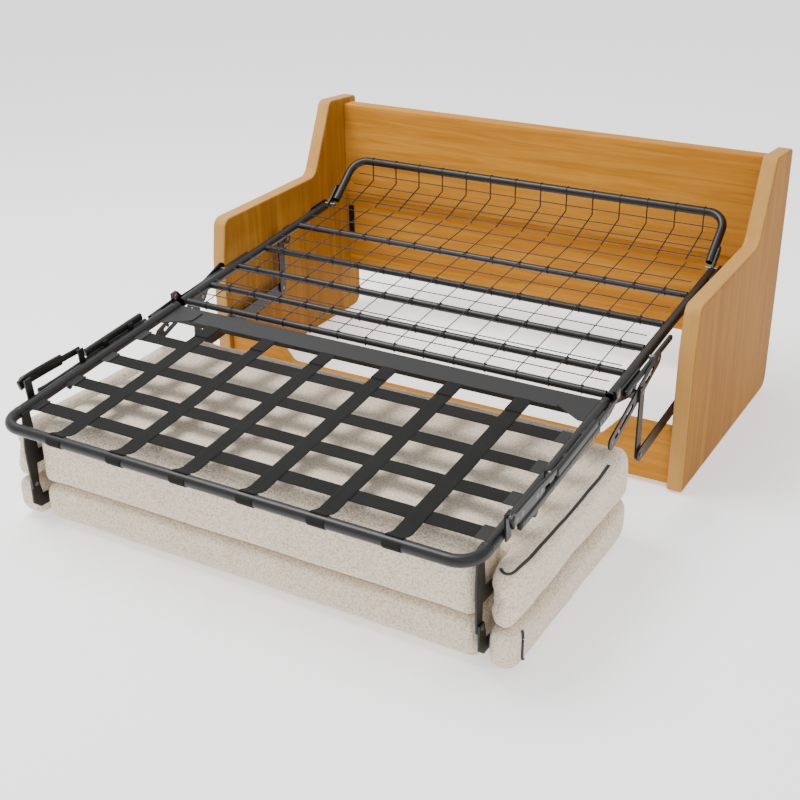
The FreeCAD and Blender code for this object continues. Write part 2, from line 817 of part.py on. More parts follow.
body = new_body("head_cross_wires")
put_on_head(body)
sketch = new_sketch(body, "YZ_Plane")
level_shift = on_head(0, wire_radius * 2 + seat_gap)
for share in (0.12, 0.42, 0.72):
    along = wire_toe[0] + (wire_knee[0] - wire_toe[0]) * share + level_shift[0]
    above = wire_toe[1] + (wire_knee[1] - wire_toe[1]) * share + level_shift[1]
    add_circle(sketch, along, above, wire_radius)
knee_shift = on_head(-wire_radius * 2 - seat_gap, 20)
add_circle(sketch, wire_knee[0] + knee_shift[0], wire_knee[1] + knee_shift[1], wire_radius)
pad(body, sketch, (hoop_offset - hoop_radius - 3) * 2)
keep(body)

# Fold band and its gussets
band_half = tube_offset - foot_tube_radius - joint_gap
band_far = band_near + band_width
body = new_body("fold_band")
put_on_bed(body)
sketch = new_sketch(body, "YZ_Plane")
add_outline(sketch, [
    (-band_far, -band_lip), (-band_far + band_sheet, -band_lip),
    (-band_far + band_sheet, -band_sheet), (-band_near - band_sheet, -band_sheet),
    (-band_near - band_sheet, -band_lip), (-band_near, -band_lip), (-band_near, 0), (-band_far, 0),
])
pad(body, sketch, band_half * 2)
keep(body)

body = new_body("band_gussets")
put_on_bed(body)
sketch = new_sketch(body, "XY_Plane", joint_gap / 2 + band_sheet / 2)
for _, sign in SIDES:
    inner = (band_half - 95) * sign
    outer = band_half * sign
    add_outline(sketch, [
        (inner, -band_far + 6), (inner, -band_near - 20), (outer - 22 * sign, -band_near - 2),
        (outer, -band_near - 2), (outer, -band_far - 42), (outer - 16 * sign, -band_far - 42),
    ])
pad(body, sketch, band_sheet)
keep(body)

# Webbing
strap_level = strap_thickness + strap_gap
body = new_body("cross_straps")
put_on_bed(body)
sketch = new_sketch(body, "XY_Plane", strap_thickness / 2)
strap_half = tube_offset - foot_tube_radius - 6
for index in range(4):
    middle = -(cross_strap_first + cross_strap_pitch * index)
    add_box(sketch, -strap_half, strap_half, middle - strap_width / 2, middle + strap_width / 2)
pad(body, sketch, strap_thickness)
keep(body)

body = new_body("long_straps")
put_on_bed(body)
wrap_radius = foot_tube_radius + strap_gap + strap_thickness
strap_near = band_far + 1
for index in range(strap_count):
    place = long_strap_pitch * (index - (strap_count - 1) / 2)
    ring = new_sketch(body, "YZ_Plane", place)
    add_ring(ring, -foot_length, 0, wrap_radius, strap_thickness)
    pad(body, ring, strap_width)
    strip = new_sketch(body, "YZ_Plane", place)
    add_box(strip, -foot_length + foot_tube_radius + strap_gap + 0.5, -strap_near, strap_level,
            strap_level + strap_thickness)
    pad(body, strip, strap_width)
keep(body)

body = new_body("strap_hooks")
put_on_bed(body)
hook_level = strap_thickness + strap_gap
hook_out = tube_offset - foot_tube_radius + 0.2
sketch = new_sketch(body, "XY_Plane", hook_level + hook_thickness / 2)
for index in range(4):
    middle = -(cross_strap_first + cross_strap_pitch * index)
    for _, sign in SIDES:
        add_box(sketch, (hook_out - hook_length) * sign, hook_out * sign,
                middle - strap_width / 2 - 3, middle + strap_width / 2 + 3)
pad(body, sketch, hook_thickness)
keep(body)

# Foot frame plates
packer_inner = tube_offset + foot_tube_radius + seat_gap
packer_outer = lane_b - plate_thickness / 2 - seat_gap
plate_pair("hinge_packers", put_on_bed, (packer_inner + packer_outer) / 2, packer_outer - packer_inner, [
    lambda s: add_box(s, -125, -75, -10, 10),
])
for side, sign in SIDES:
    side_plate("foot_hinge_plate_" + side, put_on_bed, lane_b * sign, plate_thickness, [
        lambda s: add_outline(s, [
            (-13, fold_axis_rise - 6), (-13, fold_axis_rise + 14), (13, fold_axis_rise + 14),
            (13, fold_axis_rise - 10), (-60, -12), (-130, -12), (-130, 10), (-60, 12),
        ]),
        lambda s: add_circle(s, 0, fold_axis_rise, hole_radius),
    ])
    body = new_body("sleeve_tube_" + side)
    put_on_bed(body)
    sketch = new_sketch(body, "XZ_Plane", -(sleeve_near + sleeve_far) / 2)
    add_ring(sketch, (lane_a + plate_thickness / 2 + seat_gap + sleeve_radius) * sign, sleeve_rise,
             sleeve_radius, 2)
    pad(body, sketch, sleeve_near - sleeve_far)
    keep(body)
    side_plate("lever_plate_" + side, put_on_bed, lane_d * sign, plate_thickness, [
        lambda s: add_stadium(s, (lever_front_u, lever_rise + 2), (lever_rear_u, lever_rise - 4), 15),
    ])
lever_link_lane = lane_d - plate_thickness
plate_pair("lever_links", put_on_bed, lever_link_lane, plate_thickness, [
    lambda s: add_stadium(s, (lever_rear_u - 15, lever_rise - 4), (lever_end_u, lever_rise - 8), 9),
])
plate_pair("lever_brackets", put_on_bed, lane_a, plate_thickness, [
    lambda s: add_box(s, lever_front_u - 13, lever_front_u + 13, -12, lever_rise + 14),
    lambda s: add_box(s, lever_end_u - 13, lever_end_u + 9, -12, lever_rise + 2),
])
cross_pins("lever_studs", put_on_bed, [
    ((lever_front_u, lever_rise + 1), 5, lane_a + plate_thickness / 2, lane_d - plate_thickness / 2),
    ((lever_end_u - 2, lever_rise - 8), 5, lane_a + plate_thickness / 2,
     lever_link_lane - plate_thickness / 2),
])
plate_pair("sleeve_brackets", put_on_bed, lane_a, plate_thickness, [
    lambda s: add_box(s, sleeve_far + 40, sleeve_far + 60, -12, sleeve_rise + 3),
    lambda s: add_box(s, sleeve_near - 60, sleeve_near - 40, -12, sleeve_rise + 3),
])

# Cushions
def bulge_outline(sketch, low, high, front_bulge, crown):
    """Draw a cushion's side view: flat below and behind, bowed out in front and on top."""
    corners = [(cushion_back, low), (cushion_front, low), (cushion_front, high), (cushion_back, high)]
    points = [Vector(y.value, z.value, 0) for y, z in corners]
    for index, rise in enumerate((0, front_bulge, crown, 0)):
        start, end = points[index], points[(index + 1) % 4]
        if rise == 0:
            sketch.addGeometry(Part.LineSegment(start, end), False)
            continue
        outward = Vector(-(end - start).y, (end - start).x, 0).normalize()
        middle = (start + end) / 2 + outward * rise.value
        sketch.addGeometry(Part.Arc(start, middle, end), False)
    for index in range(4):
        flipped = index in (1, 2)
        starts = 2 if flipped else 1
        sketch.addConstraint(Sketcher.Constraint("Coincident", index, 3 - starts,
                                                 (index + 1) % 4, 2 if index in (0, 1) else 1))
        fix_point(sketch, index, starts, *corners[index])
    for index, rise, span in ((1, front_bulge, high - low), (2, crown, cushion_back - cushion_front)):
        radius = (span * span / 4 + rise * rise) / (rise * 2)
        drive(sketch, "Radius", (index,), radius)


def cushion(label, low, high, side_high, crown, rounds):
    """Make one cushion with a slot for the backrest bracket at each front corner."""
    body = new_body(label)
    put_in_carcass(body)
    sketch = new_sketch(body, "YZ_Plane")
    bulge_outline(sketch, low, high, cushion_bulge, crown)
    pad(body, sketch, cushion_half_width * 2)
    stepped = side_high.value < high.value - 0.01
    if stepped:
        for _, sign in SIDES:
            trim = new_sketch(body, "YZ_Plane", (slot_outer + cushion_half_width) / 2 * sign)
            add_box(trim, cushion_front - 30, cushion_back + 30, side_high, high + 40)
            pocket(body, trim, cushion_half_width - slot_outer)
    corners = ((cushion_front, low), (cushion_front, high), (cushion_back, high), (cushion_back, low))
    for corner, radius in zip(corners, rounds):
        fillet(body, along_x_at([corner]), radius)
    if stepped:
        fillet(body, along_x_at([(cushion_front, side_high), (cushion_back, side_high)], 4), wing_round)

    def on_end(edge):
        return all(abs(abs(vertex.Point.x) - cushion_half_width.value) < 0.01
                   for vertex in edge.Vertexes) and edge.BoundBox.XLength < 0.01

    fillet(body, on_end, cushion_end_round)
    slots = new_sketch(body, "XY_Plane", (low + high) / 2)
    for _, sign in SIDES:
        add_box(slots, cushion_main_half * sign, slot_outer * sign, cushion_front - 60, slot_back)
    pocket(body, slots, high - low + crown * 2 + 20)
    return keep(body)


cushion("seat_cushion", seat_bottom, seat_top, wing_top, seat_crown, (22, 18, 18, 20))
cushion("back_cushion", pad_bottom, pad_top, pad_top, pad_crown, (76, 14, 14, 36))

# Backrest hinge brackets
seat_bracket = tube_offset - foot_tube_radius - seat_gap - plate_thickness / 2
pad_bracket = seat_bracket + plate_thickness + joint_gap * 2
slot_face = slot_back - cushion_gap
plate_pair("seat_brackets", put_in_carcass, seat_bracket, plate_thickness, [
    lambda s: add_outline(s, [
        (back_pivot_y - 14, back_pivot_z - 12), (back_pivot_y + 12, back_pivot_z - 12),
        (back_pivot_y + 14, back_pivot_z + 60), (slot_face, back_pivot_z + 60),
        (slot_face, back_pivot_z + 90), (back_pivot_y + 26, back_pivot_z + 100),
        (back_pivot_y + 14, back_pivot_z + 228), (back_pivot_y - 14, back_pivot_z + 225),
        (back_pivot_y - 22, back_pivot_z + 110),
    ]),
    lambda s: add_circle(s, back_pivot_y, back_pivot_z, hole_radius),
])
plate_pair("pad_brackets", put_in_carcass, pad_bracket, plate_thickness, [
    lambda s: add_outline(s, [
        (back_pivot_y - 13, back_pivot_z + 11), (back_pivot_y - 13, back_pivot_z - 60),
        (back_pivot_y + 12, back_pivot_z - 82), (slot_face, back_pivot_z - 82),
        (slot_face, back_pivot_z - 52), (back_pivot_y + 26, back_pivot_z - 46),
        (back_pivot_y + 13, back_pivot_z + 11),
    ]),
    lambda s: add_circle(s, back_pivot_y, back_pivot_z, hole_radius),
])
cross_pins("backrest_pins", put_in_carcass, [
    ((back_pivot_y, back_pivot_z), pin_radius, seat_bracket - plate_thickness / 2 - 2,
     pad_bracket + plate_thickness / 2 + 2),
])

# Kick tabs
for side, sign in SIDES:
    tip = (tab_u - 26, tab_w - 38)
    side_plate("kick_tab_" + side, put_on_bed, lane_a * sign, plate_thickness, [
        lambda s: add_stadium(s, (tab_u, tab_w), tip, 10),
        lambda s: add_circle(s, tab_u, tab_w, 4 + pin_clearance),
    ])
cross_pins("kick_tab_pins", put_on_bed, [
    ((tab_u, tab_w), 4, tube_offset + foot_tube_radius + 0.2, lane_a + plate_thickness / 2 + 3),
])

# Check and write
doc.recompute()
for item in doc.Objects:
    if "Invalid" in item.State or "Error" in item.State:
        raise RuntimeError("object is not valid: " + item.Label + " " + str(item.State))
os.makedirs("parts", exist_ok=True)
for node in nodes:
    shape = node.Shape
    if shape.isNull() or not shape.isValid() or not shape.Solids:
        raise RuntimeError("shape is not valid: " + node.Label)
    shape.exportStep("parts/" + node.Label + ".step")
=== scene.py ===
import bpy
import math
import numpy as np
from mathutils import Matrix, Vector


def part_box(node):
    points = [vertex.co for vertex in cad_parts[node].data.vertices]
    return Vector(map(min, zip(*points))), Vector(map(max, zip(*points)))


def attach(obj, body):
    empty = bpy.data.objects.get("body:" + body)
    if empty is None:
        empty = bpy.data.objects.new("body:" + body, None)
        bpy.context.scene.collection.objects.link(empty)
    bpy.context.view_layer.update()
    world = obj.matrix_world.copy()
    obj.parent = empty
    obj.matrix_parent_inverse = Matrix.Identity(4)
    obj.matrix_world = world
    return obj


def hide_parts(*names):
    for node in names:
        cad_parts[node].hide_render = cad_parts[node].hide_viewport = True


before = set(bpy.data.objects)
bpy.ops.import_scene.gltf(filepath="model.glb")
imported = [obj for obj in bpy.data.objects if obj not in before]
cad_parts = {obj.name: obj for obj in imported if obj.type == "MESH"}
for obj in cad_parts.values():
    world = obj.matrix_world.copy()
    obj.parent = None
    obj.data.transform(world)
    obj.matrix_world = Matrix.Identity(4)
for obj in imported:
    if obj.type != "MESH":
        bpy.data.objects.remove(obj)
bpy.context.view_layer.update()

# The carcass and the bed plane, read from the CAD nodes, in metres
PANEL_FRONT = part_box("side_panel_left")[0].y
SLOPE = math.radians(5.88)
BED_Y, BED_Z = PANEL_FRONT - 0.330, 0.428
HEAD_U, HEAD_SLOPE = 0.875, math.radians(39.2)
TUBE_X, TUBE_R = 0.724, 0.016


def on_bed(x, u, w):
    """Point on the sloping bed plane: u runs along it towards the back, w stands square to it."""
    x, u, w = np.broadcast_arrays(*(np.asarray(v, float) for v in (x, u, w)))
    y = BED_Y + u * math.cos(SLOPE) - w * math.sin(SLOPE)
    z = BED_Z + u * math.sin(SLOPE) + w * math.cos(SLOPE)
    return np.stack([x, y, z], -1)


HEAD_POINT = on_bed(0, HEAD_U, 0)


def on_head(x, u, w):
    """Point on the head hoop's plane, counted from the hoop's hinge."""
    x, u, w = np.broadcast_arrays(*(np.asarray(v, float) for v in (x, u, w)))
    y = HEAD_POINT[1] + u * math.cos(HEAD_SLOPE) - w * math.sin(HEAD_SLOPE)
    z = HEAD_POINT[2] + u * math.sin(HEAD_SLOPE) + w * math.cos(HEAD_SLOPE)
    return np.stack([x, y, z], -1)


# Finishes
class Signal:
    """One shader socket that takes part in plain arithmetic by adding Math nodes."""

    def __init__(self, finish, socket):
        self.finish, self.socket = finish, socket

    def math(self, operation, left, right):
        return self.finish.math(operation, left, right)

    def __add__(self, other):
        return self.math("ADD", self, other)

    def __sub__(self, other):
        return self.math("SUBTRACT", self, other)

    def __rsub__(self, other):
        return self.math("SUBTRACT", other, self)

    def __mul__(self, other):
        return self.math("MULTIPLY", self, other)

    __radd__, __rmul__ = __add__, __mul__


class Finish:
    """A node material built up from signals."""

    def __init__(self, name, **constants):
        self.material = bpy.data.materials.new(name)
        self.material.use_nodes = True
        self.tree = self.material.node_tree
        self.surface = next(n for n in self.tree.nodes if n.type == "BSDF_PRINCIPLED")
        for socket, value in constants.items():
            self.surface.inputs[socket.replace("_", " ")].default_value = value

    def node(self, kind, settings, *inputs, out=0, **named):
        made = self.tree.nodes.new(kind)
        for key, value in settings.items():
            if key == "stops":
                ramp = made.color_ramp
                while len(ramp.elements) > 1:
                    ramp.elements.remove(ramp.elements[-1])
                for index, (place, colour) in enumerate(value):
                    element = ramp.elements[0] if index == 0 else ramp.elements.new(place)
                    element.position = place
                    element.color = (*colour, 1)
            else:
                setattr(made, key, value)
        pairs = list(enumerate(inputs)) + [(key.replace("_", " "), v) for key, v in named.items()]
        for key, value in pairs:
            self.feed(made.inputs[key], value)
        return Signal(self, made.outputs[out])

    def feed(self, socket, value):
        if isinstance(value, Signal):
            self.tree.links.new(value.socket, socket)
        elif value is not None:
            socket.default_value = value

    def math(self, operation, *values):
        return self.node("ShaderNodeMath", {"operation": operation}, *values)

    def place(self, scale=(1, 1, 1), turn=(0, 0, 0)):
        """Object coordinates, stretched along each axis."""
        at = self.node("ShaderNodeTexCoord", {}, out="Object")
        return self.node("ShaderNodeMapping", {}, Vector=at, Scale=scale, Rotation=turn)

    def noise(self, at, scale, detail=3.0, roughness=0.5, distortion=0.0):
        return self.node("ShaderNodeTexNoise", {}, Vector=at, Scale=scale, Detail=detail,
                         Roughness=roughness, Distortion=distortion, out=0)

    def ramp(self, factor, *stops):
        return self.node("ShaderNodeValToRGB", {"stops": stops}, factor)

    def mix(self, factor, first, second, blend="MIX"):
        made = self.tree.nodes.new("ShaderNodeMix")
        made.data_type, made.blend_type = "RGBA", blend
        self.feed(made.inputs[0], factor)
        for index, value in ((6, first), (7, second)):
            self.feed(made.inputs[index], value if isinstance(value, Signal) else (*value, 1))
        return Signal(self, made.outputs[2])

    def bump(self, height, strength, distance, normal=None):
        return self.node("ShaderNodeBump", {}, Height=height, Strength=strength, Distance=distance,
                         Normal=normal)

    def set(self, **signals):
        for socket, value in signals.items():
            self.feed(self.surface.inputs[socket.replace("_", " ")], value)
        return self.material


def oak_finish(name, along, painted_shade_scale):
    """Honey oak: long fibres and glued staves along one axis; on the panels the narrow faces and rounded
    edges are paler, partly the finish and partly painted highlight.
    """
    oak = Finish(name, Specular_IOR_Level=0.045)
    stretch = {"x": (0.55, 9.0, 9.0), "z": (9.0, 9.0, 0.55)}[along]
    fine = {"x": (3.0, 160.0, 160.0), "z": (160.0, 160.0, 3.0)}[along]
    grain = oak.noise(oak.place(stretch), 3.2, 6.0, 0.62, 1.1)
    fibre = oak.noise(oak.place(fine), 2.0, 3.0, 0.6)
    cloud = oak.noise(oak.place((1.4, 1.4, 1.4)), 1.6, 2.0)
    stave = {"x": (0.15, 11.0, 11.0), "z": (11.0, 11.0, 0.15)}[along]
    strips = oak.node("ShaderNodeTexVoronoi", {"feature": "F1"}, Vector=oak.place(stave), Scale=1.0,
                      out="Color")
    tone = oak.node("ShaderNodeSeparateColor", {}, strips)
    shades = ((0.25, (0.290, 0.098, 0.007)), (0.45, (0.410, 0.164, 0.018)),
              (0.6, (0.510, 0.228, 0.032)), (0.8, (0.620, 0.315, 0.062)))
    # Colours scaled by the last argument; a value below 1 is painted shade on the same oak.
    body = oak.ramp(grain * 0.72 + fibre * 0.2 + tone * 0.1,
                    *((at, tuple(c * painted_shade_scale for c in shade)) for at, shade in shades))
    body = oak.mix(cloud * 0.35, body, (0.44 * painted_shade_scale, 0.182 * painted_shade_scale, 0.020 * painted_shade_scale))
    # Faces not turned along X, the narrow faces and rounded edges, get paler: partly the finish, partly
    # painted highlight.
    facing = oak.node("ShaderNodeSeparateXYZ", {}, oak.node("ShaderNodeNewGeometry", {}, out="Normal"))
    flat = oak.math("ABSOLUTE", facing)
    edge_finish_and_highlight = oak.ramp(flat, (0.55, (1, 1, 1)), (0.92, (0, 0, 0)))
    if along == "z":
        body = oak.mix(edge_finish_and_highlight, body, oak.mix(0.4, body, (0.66, 0.40, 0.15)))
    relief = oak.bump(fibre * 0.6 + grain * 0.4, 0.22, 0.0006)
    return oak.set(Base_Color=body, Roughness=grain * 0.16 + 0.44, Normal=relief)


def steel_finish(name, colour, rough=0.4):
    """Graphite powder coat: fine orange peel, faint scuffs, and pale specks at random over all faces that
    are painted speckled highlight.
    """
    steel = Finish(name, Metallic=0.1, Specular_IOR_Level=0.38, Coat_Weight=0.04, Coat_Roughness=0.3)
    peel = steel.noise(steel.place(), 900.0, 2.0)
    smear = steel.noise(steel.place((1, 1, 1)), 14.0, 5.0, 0.7)
    highlight_speck = steel.noise(steel.place(), 260.0, 3.0, 0.7)
    # Pale specks at random, lightened into the base colour: painted highlight.
    lift = steel.ramp(highlight_speck, (0.56, (0, 0, 0)), (0.72, (1, 1, 1)))
    lighter = tuple(min(1.0, c * 2.1 + 0.01) for c in colour)
    tone = steel.mix(smear, tuple(c * 0.82 for c in colour), tuple(c * 1.35 for c in colour))
    tone = steel.mix(lift * 0.35, tone, lighter)
    return steel.set(Base_Color=tone, Roughness=smear * 0.22 + (rough - 0.1),
                     Normal=steel.bump(peel + smear * 0.6, 0.10, 0.0003))


def pin_finish():
    """Zinc plated pins and rivets, a little dulled."""
    zinc = Finish("dulled_zinc", Metallic=0.9)
    cloud = zinc.noise(zinc.place(), 90.0, 4.0)
    tone = zinc.mix(cloud, (0.10, 0.10, 0.105), (0.24, 0.235, 0.225))
    return zinc.set(Base_Color=tone, Roughness=cloud * 0.3 + 0.25)


def brass_finish():
    brass = Finish("yellow_passivated_bush", Metallic=0.9)
    cloud = brass.noise(brass.place(), 120.0, 4.0)
    tone = brass.mix(cloud, (0.30, 0.17, 0.05), (0.55, 0.36, 0.13))
    return brass.set(Base_Color=tone, Roughness=cloud * 0.3 + 0.3)


def webbing_finish(name, turn):
    """Woven grey webbing: ribs across the strap, fine warp lines along it."""
    web = Finish(name, Roughness=0.85, Specular_IOR_Level=0.12)
    at = web.place((1, 1, 1), (0, 0, turn))
    ribs = web.node("ShaderNodeTexWave", {"wave_type": "BANDS", "bands_direction": "X"}, Vector=at,
                    Scale=240.0, Distortion=1.2, Detail=1.0, out=0)
    warp = web.node("ShaderNodeTexWave", {"wave_type": "BANDS", "bands_direction": "Y"}, Vector=at,
                    Scale=160.0, Distortion=0.8, Detail=1.0, out=0)
    cloud = web.noise(web.place(), 9.0, 4.0)
    fuzz = web.noise(web.place(), 420.0, 3.0)
    tone = web.ramp(ribs * 0.35 + warp * 0.25 + cloud * 0.25 + fuzz * 0.25,
                    (0.2, (0.006, 0.006, 0.006)), (0.8, (0.020, 0.0196, 0.019)))
    return web.set(Base_Color=tone, Normal=web.bump(ribs * 0.6 + warp * 0.4 + fuzz * 0.4, 0.5, 0.0004))


def tweed_finish(name):
    """Oatmeal tweed: looped yarn, brown and white flecks, soft mottling."""
    tweed = Finish(name, Roughness=0.92, Sheen_Weight=0.25, Sheen_Roughness=0.6, IOR=1.4)
    at = tweed.place()
    warped = tweed.noise(at, 30.0, 2.0)
    loops = tweed.node("ShaderNodeTexVoronoi", {"feature": "F1"}, Vector=at, Scale=170.0,
                       Randomness=1.0, out="Distance")
    yarn = tweed.noise(at, 230.0, 3.0, 0.6, 0.6)
    flecks = tweed.noise(tweed.place((1.0, 0.5, 1.0)), 520.0, 2.0, 0.5)
    pale = tweed.noise(tweed.place((0.6, 1.0, 1.0), (0.3, 0.2, 0.7)), 430.0, 2.0, 0.5)
    cloud = tweed.noise(at, 6.0, 3.0)
    base = tweed.ramp(yarn * 0.6 + cloud * 0.1 + loops * 0.45,
                      (0.25, (0.88, 0.765, 0.610)), (0.5, (0.80, 0.670, 0.510)),
                      (0.75, (0.52, 0.415, 0.300)))
    dark = tweed.ramp(flecks, (0.60, (0, 0, 0)), (0.70, (1, 1, 1)))
    light = tweed.ramp(pale, (0.60, (0, 0, 0)), (0.72, (1, 1, 1)))
    base = tweed.mix(dark * 0.5, base, (0.30, 0.215, 0.140))
    base = tweed.mix(light * 0.45, base, (0.90, 0.84, 0.76))
    height = yarn * 0.7 - loops * 0.9 + warped * 0.2
    return tweed.set(Base_Color=base, Normal=tweed.bump(height, 0.9, 0.0030))


def cord_finish():
    """Black zip tape and piping."""
    tape = Finish("black_zip_tape", Roughness=0.7)
    teeth = tape.noise(tape.place(), 700.0, 2.0)
    tone = tape.mix(teeth, (0.012, 0.012, 0.013), (0.035, 0.034, 0.034))
    return tape.set(Base_Color=tone, Normal=tape.bump(teeth, 0.5, 0.0005))


def glide_finish():
    glide = Finish("black_glide", Roughness=0.5)
    cloud = glide.noise(glide.place(), 200.0, 3.0)
    return glide.set(Base_Color=glide.mix(cloud, (0.012, 0.012, 0.012), (0.03, 0.03, 0.03)))


OAK_ACROSS = oak_finish("honey_oak_boards", "x", 1.0)
# Side panels: the same oak as the boards, darkened to 0.66 as painted shade.
OAK_UP = oak_finish("honey_oak_panels_painted_shade", "z", 0.66)
STEEL = steel_finish("graphite_powder_coat", (0.0062, 0.0062, 0.0064), 0.36)
WIRE = steel_finish("graphite_wire", (0.008, 0.008, 0.009), 0.42)
ZINC = pin_finish()
BRASS = brass_finish()
WEB_LONG = webbing_finish("webbing_lengthwise", 0.0)
WEB_CROSS = webbing_finish("webbing_crosswise", math.pi / 2)
TWEED = tweed_finish("oatmeal_tweed")
TAPE = cord_finish()
GLIDE = glide_finish()


def paint(node, material):
    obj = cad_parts[node]
    obj.data.materials.clear()
    obj.data.materials.append(material)


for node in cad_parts:
    paint(node, STEEL)
for node in ("side_panel_left", "side_panel_right"):
    paint(node, OAK_UP)
for node in ("back_board_upper", "back_board_lower", "front_rail"):
    paint(node, OAK_ACROSS)
for node in ("deck_long_wires", "deck_cross_wires", "head_long_wires", "head_cross_wires"):
    paint(node, WIRE)
for node in ("arm_low_pins", "deck_pins", "link_studs", "head_pins", "lever_studs", "backrest_pins",
             "kick_tab_pins", "wall_spacers"):
    paint(node, ZINC)
paint("floor_glides", GLIDE)


# Mesh makers
def finish_piece(name, verts, faces, body, material, smooth=True):
    mesh = bpy.data.meshes.new(name)
    mesh.from_pydata(np.asarray(verts).reshape(-1, 3).tolist(), [], [list(f) for f in faces])
    mesh.validate()
    mesh.polygons.foreach_set("use_smooth", [smooth] * len(mesh.polygons))
    mesh.materials.append(material)
    obj = bpy.data.objects.new(name, mesh)
    bpy.context.scene.collection.objects.link(obj)
    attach(obj, body)
    return obj


def ring_faces(rings, sides, first=0, closed=False):
    """Quads between neighbouring rings of a swept profile, with a face over each open end."""
    count = rings if closed else rings - 1
    i, j = np.meshgrid(np.arange(count), np.arange(sides), indexing="ij")
    a = i * sides + j
    b = i * sides + (j + 1) % sides
    c = ((i + 1) % rings) * sides + (j + 1) % sides
    d = ((i + 1) % rings) * sides + j
    faces = (np.stack([a, b, c, d], -1).reshape(-1, 4) + first).tolist()
    if not closed:
        faces.append([first + k for k in range(sides)][::-1])
        faces.append([first + (rings - 1) * sides + k for k in range(sides)])
    return faces


def path_frames(path):
    """Tangent, side and lift at each point of a path; the side stays as level as it can."""
    path = np.asarray(path, float)
    tangent = np.gradient(path, axis=0)
    tangent /= np.linalg.norm(tangent, axis=1)[:, None]
    lift = np.array([0.0, 0.0, 1.0]) - tangent * tangent[:, 2:3]
    weak = np.linalg.norm(lift, axis=1) < 0.2
    lift[weak] = np.array([0.0, 1.0, 0.0]) - tangent[weak] * tangent[weak][:, 1:2]
    lift /= np.linalg.norm(lift, axis=1)[:, None]
    side = np.cross(tangent, lift)
    return path, tangent, side, lift


def tube_rings(path, radius, sides=14):
    """Circle of the given radius carried along a path, square to it; the radius may vary."""
    path, _, side, lift = path_frames(path)
    radius = np.broadcast_to(np.asarray(radius, float), (len(path),))
    turn = np.linspace(0, 2 * math.pi, sides, endpoint=False)
    ring = np.cos(turn)[None, :, None] * side[:, None, :] + np.sin(turn)[None, :, None] * lift[:, None, :]
    return (path[:, None, :] + ring * radius[:, None, None])[:, ::-1]


def smooth_path(points, count):
    """Catmull-Rom curve through the points, resampled evenly."""
    points = np.asarray(points, float)
    ends = np.vstack([2 * points[0] - points[1], points, 2 * points[-1] - points[-2]])
    t = np.linspace(0, len(points) - 1, count * 4)
    k = np.minimum(t.astype(int), len(points) - 2)
    f = (t - k)[:, None]
    p0, p1, p2, p3 = (ends[k + n] for n in range(4))
    curve = 0.5 * (2 * p1 + (p2 - p0) * f + (2 * p0 - 5 * p1 + 4 * p2 - p3) * f ** 2
                   + (3 * p1 - p0 - 3 * p2 + p3) * f ** 3)
    length = np.r_[0, np.cumsum(np.linalg.norm(np.diff(curve, axis=0), axis=1))]
    even = np.linspace(0, length[-1], count)
    return np.stack([np.interp(even, length, curve[:, n]) for n in range(3)], -1)


class Pile:
    """Several swept or flat shapes gathered into one mesh."""

    def __init__(self):
        self.verts, self.faces, self.count = [], [], 0

    def add(self, verts, faces):
        verts = np.asarray(verts, float).reshape(-1, 3)
        self.faces += [[v + self.count for v in face] for face in faces]
        self.verts.append(verts)
        self.count += len(verts)

    def tube(self, path, radius, sides=14, closed=False):
        rings = tube_rings(path, radius, sides)
        self.add(rings, ring_faces(len(rings), sides, 0, closed))

    def section(self, path, half_side, half_lift, power=4.0, sides=16):
        """Rounded-rectangle section, a superellipse, carried along a path."""
        path, _, side, lift = path_frames(path)
        turn = np.linspace(0, 2 * math.pi, sides, endpoint=False)
        c, s = np.cos(turn), np.sin(turn)
        a = np.sign(c) * np.abs(c) ** (2 / power) * half_side
        b = np.sign(s) * np.abs(s) ** (2 / power) * half_lift
        rings = path[:, None, :] + a[None, :, None] * side[:, None, :] + b[None, :, None] * lift[:, None, :]
        self.add(rings[:, ::-1], ring_faces(len(rings), sides))

    def head(self, centre, axis, radius, height, sides=14):
        """Domed rivet head: circle shrinking along its axis as a quarter ellipse."""
        axis = np.asarray(axis, float) / np.linalg.norm(axis)
        other = np.array([0.0, 0.0, 1.0]) if abs(axis[2]) < 0.9 else np.array([0.0, 1.0, 0.0])
        u = np.cross(axis, other)
        u /= np.linalg.norm(u)
        v = np.cross(axis, u)
        rise = np.linspace(0, math.pi / 2, 5)[:-1]
        turn = np.linspace(0, 2 * math.pi, sides, endpoint=False)
        ring = np.cos(turn)[:, None] * u + np.sin(turn)[:, None] * v
        rings = np.asarray(centre) + ring[None] * (radius * np.cos(rise))[:, None, None] \
            + axis * (height * np.sin(rise))[:, None, None]
        self.add(rings, ring_faces(len(rings), sides))

    def piece(self, name, body, material, slot):
        return finish_piece(name, np.vstack(self.verts), self.faces, body, material)


# Seat block
def corner_profile(low, high, radii, count):
    """Rounded rectangle in the side view with one radius for each corner, evenly spaced."""
    (y0, z0), (y1, z1) = low, high
    corners = (((y0, z0), (1, 1), math.pi), ((y1, z0), (-1, 1), 1.5 * math.pi),
               ((y1, z1), (-1, -1), 0.0), ((y0, z1), (1, -1), 0.5 * math.pi))
    points = []
    for (corner, inward, start), radius in zip(corners, radii):
        turn = start + np.linspace(0, math.pi / 2, 24)
        centre = np.array(corner) + np.array(inward) * radius
        points.append(centre + radius * np.stack([np.cos(turn), np.sin(turn)], -1))
    loop = np.vstack(points + [points[0][:1]])
    length = np.r_[0, np.cumsum(np.linalg.norm(np.diff(loop, axis=0), axis=1))]
    even = np.linspace(0, length[-1], count, endpoint=False)
    return np.stack([np.interp(even, length, loop[:, n]) for n in range(2)], -1)


